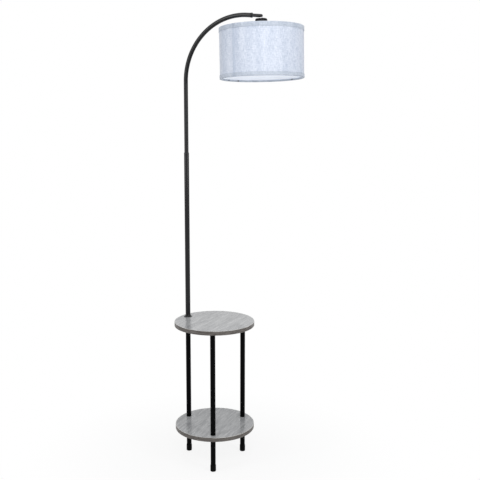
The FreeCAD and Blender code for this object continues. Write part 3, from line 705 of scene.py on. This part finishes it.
# ---------------------------------------------------------------- operators
class ARCLAMP_OT_stage(bpy.types.Operator):
    """Make the white room, its floor, the studio lamps and the camera"""

    bl_idname = "arc_lamp.stage"
    bl_label = "Stage"

    def execute(self, context):
        stage = context.scene.arc_lamp_stage
        context.scene.view_settings.view_transform = "Standard"
        self.add_camera(stage)
        self.add_world(stage)
        self.add_floor()
        tall, wide, square = (0.6, 1.9), (1.3, 0.7), (2.2, 2.2)
        pole_middle, floor_middle = (0.0, 0.0, 1.35), (0.0, 0.0, 0.0)
        self.add_softbox("softbox_left", (-1.8, -1.25, 1.75), pole_middle, tall, stage.left_power)
        self.add_softbox("softbox_right", (1.6, -1.6, 1.75), pole_middle, tall, stage.right_power)
        self.add_softbox("softbox_front", (0.1, -2.4, 2.45), pole_middle, wide, stage.front_power)
        self.add_softbox("softbox_top", (0.0, -0.2, 3.3), floor_middle, square, stage.top_power)
        return {"FINISHED"}

    def add_camera(self, stage):
        """The photograph's viewpoint, fitted to the boards, legs and feet and given from the table's axis."""
        from_table = Vector((0.0961, -2.8790, 0.0))
        height, pitch, yaw, roll = 1.3234, 0.1581, -0.0004, 0.0014
        camera = bpy.data.cameras.new("camera")
        camera.lens = stage.lens
        camera.sensor_width = 36.0
        eye = bpy.data.objects.new("camera", camera)
        bpy.context.scene.collection.objects.link(eye)
        spot = Vector((TABLE_AXIS.x, TABLE_AXIS.y, height)) + from_table
        tilt = Matrix.Rotation(math.pi / 2 - pitch, 4, "X") @ Matrix.Rotation(roll, 4, "Z")
        eye.matrix_world = Matrix.Translation(spot) @ Matrix.Rotation(yaw, 4, "Z") @ tilt
        bpy.context.scene.camera = eye

    def seen_ray(self, graph):
        """1 for the rays that show the background itself: camera, glossy and transmission rays."""
        path = graph.add("ShaderNodeLightPath")
        shown = graph.one("MAXIMUM", path.out("Is Camera Ray"), path.out("Is Glossy Ray"))
        return graph.one("MAXIMUM", shown, path.out("Is Transmission Ray"))

    def add_world(self, stage):
        world = bpy.data.worlds.new("studio")
        world.use_nodes = True
        world.node_tree.nodes.clear()
        bpy.context.scene.world = world
        graph = Graph(world.node_tree)
        white = graph.add("ShaderNodeBackground", {}, {"Color": (1.0, 1.0, 1.0), "Strength": 1.0})
        room = graph.add("ShaderNodeBackground", {}, {"Color": (0.97, 0.985, 1.0), "Strength": stage.ambient})
        both = graph.add("ShaderNodeMixShader", {}, {0: self.seen_ray(graph), 1: room, 2: white})
        graph.add("ShaderNodeOutputWorld", {}, {"Surface": both})

    def add_floor(self):
        """A pale disc that takes the lamp's shadow and goes over to the white background away from it."""
        radius, drop, matt_to, white_from, least_white = 8.0, 0.3 * MM, 0.2, 0.8, 0.87
        disc = bmesh.new()
        bmesh.ops.create_circle(disc, cap_ends=True, segments=128, radius=radius)
        mesh = bpy.data.meshes.new("floor")
        disc.to_mesh(mesh)
        disc.free()
        mesh.transform(Matrix.Translation((TABLE_AXIS.x, TABLE_AXIS.y, -drop)))
        floor = bpy.data.objects.new("floor", mesh)
        bpy.context.scene.collection.objects.link(floor)
        matt_paper = {"Base Color": (0.93, 0.93, 0.93), "Roughness": 0.9, "Specular IOR Level": 0.0}
        finish = Finish("floor", matt_paper)
        axes = finish.add("ShaderNodeSeparateXYZ", {}, {"Vector": finish.place()})
        x, y = axes.out("X") - TABLE_AXIS.x, axes.out("Y") - TABLE_AXIS.y
        away = finish.span((x * x + y * y) ** 0.5, matt_to, white_from, low=least_white, smooth=True)
        white = finish.add("ShaderNodeEmission", {}, {"Color": (1.0, 1.0, 1.0), "Strength": 1.0})
        matt = Val(finish, finish.shader.outputs[0])
        both = finish.add("ShaderNodeMixShader", {}, {0: away * self.seen_ray(finish), 1: matt, 2: white})
        finish.feed(finish.tree.nodes["Material Output"].inputs["Surface"], both)
        mesh.materials.append(finish.material)

    def add_softbox(self, name, place, target, size, power):
        lamp = bpy.data.lights.new(name, "AREA")
        lamp.shape = "RECTANGLE"
        lamp.size, lamp.size_y = size
        lamp.energy = power
        box = bpy.data.objects.new(name, lamp)
        bpy.context.scene.collection.objects.link(box)
        aim = (Vector(target) - Vector(place)).to_track_quat("-Z", "Y")
        box.matrix_world = Matrix.Translation(place) @ aim.to_matrix().to_4x4()
        box.visible_camera = False


class ARCLAMP_OT_tubes(bpy.types.Operator):
    """Powder-coat the legs, the pole, the arm and its fittings"""

    bl_idname = "arc_lamp.tubes"
    bl_label = "Tubes"

    def execute(self, context):
        paint = context.scene.arc_lamp_paint
        satin = fine_paint("satin_black", paint.colour, paint.roughness, paint.gloss)
        upper = ["pole_flange", "lower_pole", "arm_tube", "arm_ferrule", "end_tube", "end_fork"]
        finish_nodes(satin, *upper)
        # Painted shade: the legs take a darker, duller copy of the paint, for the boards' shadow they stand
        # in.
        painted_leg_shade, leg_roughness = 0.2, 0.42
        shaded_leg_colour = [painted_leg_shade * share for share in paint.colour]
        shaded = fine_paint("leg_black", shaded_leg_colour, leg_roughness, paint.leg_gloss)
        finish_nodes(shaded, *leg_nodes("upper_leg"), *leg_nodes("lower_leg"))
        return {"FINISHED"}


class ARCLAMP_OT_mouldings(bpy.types.Operator):
    """Finish the rubber feet, the gland, the bushes and the leads"""

    bl_idname = "arc_lamp.mouldings"
    bl_label = "Feet, bushes and leads"

    def execute(self, context):
        rubber = moulded("foot_rubber", colour=(0.0015, 0.0015, 0.0016), roughness=0.6, specular=0.06)
        finish_nodes(rubber, *leg_nodes("foot_cap"), "cord_gland")
        nylon = moulded("black_nylon", colour=(0.012, 0.012, 0.013), roughness=0.42)
        finish_nodes(nylon, "pole_bush", "arm_bush")
        jacket = moulded("lead_jacket", colour=(0.02, 0.02, 0.021), roughness=0.48, grain=0.8)
        finish_nodes(jacket, "stand_wire", "arm_wire", "end_wire", "neck_wire")
        return {"FINISHED"}


class ARCLAMP_OT_boards(bpy.types.Operator):
    """Lay the grey oak print on the boards and the edge strip round them"""

    bl_idname = "arc_lamp.boards"
    bl_label = "Boards"

    def execute(self, context):
        boards = context.scene.arc_lamp_boards
        finish_nodes(oak_print("grey_oak", boards), "tabletop_board", "shelf_board")
        finish_nodes(edge_print("board_edge", boards), "tabletop_edge_band", "shelf_edge_band")
        return {"FINISHED"}


class ARCLAMP_OT_fixings(bpy.types.Operator):
    """Plate the studs, inserts, nipples, nut, screw, switch stem and neck"""

    bl_idname = "arc_lamp.fixings"
    bl_label = "Fixings"

    def execute(self, context):
        zinc = plated("zinc_plate", colour=(0.55, 0.56, 0.57), roughness=0.3, marks=(0.4, 0.4, 0.12))
        finish_nodes(
            zinc, "lower_leg_inserts", "upper_leg_inserts", "shelf_studs", "shelf_nipple", "hanger_bolts",
            "tabletop_nipple", "pole_insert", "cup_nut", "knuckle_screw", "switch_stem")
        finish_nodes(plated("neck_plate", colour=(0.5, 0.5, 0.52), roughness=0.16), "neck_stem")
        return {"FINISHED"}


class ARCLAMP_OT_shade_cloth(bpy.types.Operator):
    """Make the shade's linen wall, with its upright seam"""

    bl_idname = "arc_lamp.shade_cloth"
    bl_label = "Shade cloth"

    def execute(self, context):
        shade = context.scene.arc_lamp_shade
        inner, outer, low, high = head_reach("shade_fabric")
        start = profile_mesh("wall_profile", wall_outline(outer, inner, low, high, rows=24), outer)
        seam_angle = head_angle(shade.lap_direction)
        material = linen("shade_linen", shade.cloth_light, shade.cloth_dark, shade, seam_angle * outer)
        mesh = made_by(cloth_ring_tree(), "shade_cloth", start, {
            "Segments": shade.segments, "Radius": outer, "Ripple": shade.ripple,
            "Ripple Size": shade.ripple_size, "Lap Angle": seam_angle, "Lap Width": shade.lap_width,
            "Lap Height": shade.lap_height, "Free Edge": high, "Wander": 0.0, "Material": material})
        cloth_uv(mesh, outer)
        smoothed(mesh)
        cloth = head_piece("shade_cloth", mesh, "shade_linen", "shade_fabric")
        return {"FINISHED"}


class ARCLAMP_OT_shade_hems(bpy.types.Operator):
    """Fold the linen hems over the shade's two rims"""

    bl_idname = "arc_lamp.shade_hems"
    bl_label = "Shade hems"

    def execute(self, context):
        shade = context.scene.arc_lamp_shade
        tree = cloth_ring_tree()
        seam_start = head_angle(shade.lap_direction) * head_reach("shade_top_hem")[1]
        material = linen("hem_linen", shade.hem_light, shade.hem_dark, shade, seam_start, turned=True)
        self.fold("shade_top_hem", 1, shade, tree, material)
        self.fold("shade_bottom_hem", -1, shade, tree, material)
        return {"FINISHED"}

    def fold(self, node, upright, shade, tree, material):
        """One hem, for a rim that faces up the head's axis where upright is 1 and down it where it is -1."""
        lip_thickness, lip_depth, glue = 0.6 * MM, 6.5 * MM, 0.05 * MM
        lap_width, lap_height, stray = 14 * MM, 0.6 * MM, 0.3 * MM
        degrees_off_seam = 3
        lip, outer, low, high = head_reach(node)
        band = high - low
        rim = high if upright > 0 else low
        cloth_outer = head_reach("shade_fabric")[1]
        outline = hem_outline(outer, cloth_outer + glue, lip, lip_thickness, band, lip_depth)
        placed = [(reach, rim + upright * height) for reach, height in outline]
        start = profile_mesh("hem_profile", placed, outer)
        lap_direction = shade.lap_direction + degrees_off_seam * upright
        mesh = made_by(tree, node, start, {
            "Segments": shade.segments, "Radius": outer, "Ripple": shade.ripple,
            "Ripple Size": shade.ripple_size, "Lap Angle": head_angle(lap_direction),
            "Lap Width": lap_width, "Lap Height": lap_height, "Free Edge": rim - upright * band,
            "Wander": stray, "Material": material})
        cloth_uv(mesh, outer)
        smoothed(mesh, angle=50.0)
        hem = head_piece(node.replace("shade", "linen"), mesh, "hem_linen", node)


class ARCLAMP_OT_shade_frame(bpy.types.Operator):
    """Finish the shade's wire frame, its liner and its clips, and weld its rods"""

    bl_idname = "arc_lamp.shade_frame"
    bl_label = "Shade frame and liner"

    def execute(self, context):
        white = fine_paint("white_wire", colour=(0.72, 0.73, 0.72), roughness=0.34)
        finish_nodes(white, "shade_spider", "shade_bottom_wire")
        finish_nodes(liner_sheet("liner_styrene", colour=linear(240, 244, 251), glow=0.2), "shade_liner")
        finish_nodes(fine_paint("clip_black", colour=(0.03, 0.03, 0.035), roughness=0.4), "hem_clips")
        self.weld(white)
        return {"FINISHED"}

    def weld(self, white):
        """Beads at both ends of the spider's rods, painted with the wire. Both rings are of one size."""
        ring_inner, ring_outer, ring_low, ring_high = head_reach("shade_bottom_wire")
        wire = (ring_high - ring_low) / 2
        _, _, hub_low, top = head_reach("shade_spider")
        hub_height, hub_radius = 2 * MM, 25.6 * MM
        rods, first_rod = 3, math.radians(30)
        bead, inwards = 1.35 * wire, 1.1 * wire
        start = bpy.data.meshes.new("weld_start")
        mesh = made_by(weld_tree(), "spider_welds", start, {
            "Rods": rods, "Hub Radius": hub_radius, "Hub Height": hub_low + hub_height,
            "Ring Radius": (ring_inner + ring_outer) / 2 - inwards, "Ring Height": top - wire,
            "First Angle": first_rod, "Bead": bead, "Material": white})
        smoothed(mesh, angle=80.0)
        head_piece("spider_welds", mesh, "white_wire")


class ARCLAMP_OT_lampholder(bpy.types.Operator):
    """Finish the cup, the lampholder with its ring nut, its contacts and its turn-knob"""

    bl_idname = "arc_lamp.lampholder"
    bl_label = "Lampholder"

    def execute(self, context):
        finish_nodes(gloss_enamel("cup_gloss", colour=(0.005, 0.005, 0.0055)), "socket_cup")
        phenolic = moulded("black_phenolic", colour=(0.01, 0.01, 0.011), roughness=0.3, grain=1.1)
        finish_nodes(phenolic, "lamp_socket", "shade_ring_nut", "switch_knob")
        brass = plated("brass_strip", colour=(0.72, 0.53, 0.22), roughness=0.28)
        finish_nodes(brass, "socket_shell", "socket_contact")
        return {"FINISHED"}


class ARCLAMP_OT_bulb(bpy.types.Operator):
    """Frost the bulb and finish its cap"""

    bl_idname = "arc_lamp.bulb"
    bl_label = "Bulb"

    def execute(self, context):
        finish_nodes(frosted("bulb_frost", colour=(0.86, 0.865, 0.86)), "bulb_globe")
        finish_nodes(plated("bulb_cap", colour=(0.75, 0.75, 0.76), roughness=0.28), "bulb_base")
        return {"FINISHED"}


STEPS = (
    ARCLAMP_OT_stage, ARCLAMP_OT_tubes, ARCLAMP_OT_mouldings, ARCLAMP_OT_boards, ARCLAMP_OT_fixings,
    ARCLAMP_OT_shade_cloth, ARCLAMP_OT_shade_hems, ARCLAMP_OT_shade_frame, ARCLAMP_OT_lampholder,
    ARCLAMP_OT_bulb,
)
LOOKS = {
    "arc_lamp_paint": PaintLook,
    "arc_lamp_boards": BoardLook,
    "arc_lamp_shade": ShadeLook,
    "arc_lamp_stage": StageLook,
}


class ARCLAMP_PT_panel(bpy.types.Panel):
    """Lists the steps and what can be changed before they run"""

    bl_idname = "ARCLAMP_PT_panel"
    bl_label = "Arc Lamp With Table"
    bl_space_type = "VIEW_3D"
    bl_region_type = "UI"
    bl_category = "Arc Lamp"

    def draw(self, context):
        for attribute, look in LOOKS.items():
            group = self.layout.box()
            for label in look.__annotations__:
                group.prop(getattr(context.scene, attribute), label)
        for step in STEPS:
            self.layout.operator(step.bl_idname)


def register():
    for group in LOOKS.values():
        bpy.utils.register_class(group)
    for step in STEPS:
        bpy.utils.register_class(step)
    bpy.utils.register_class(ARCLAMP_PT_panel)
    for attribute, group in LOOKS.items():
        setattr(bpy.types.Scene, attribute, PointerProperty(type=group))


def unregister():
    for attribute in LOOKS:
        delattr(bpy.types.Scene, attribute)
    bpy.utils.unregister_class(ARCLAMP_PT_panel)
    for step in reversed(STEPS):
        bpy.utils.unregister_class(step)
    for group in LOOKS.values():
        bpy.utils.unregister_class(group)


def main():
    register()
    for step in STEPS:
        name = step.bl_idname.split(".")[1]
        getattr(bpy.ops.arc_lamp, name)()


if __name__ == "__main__":
    main()
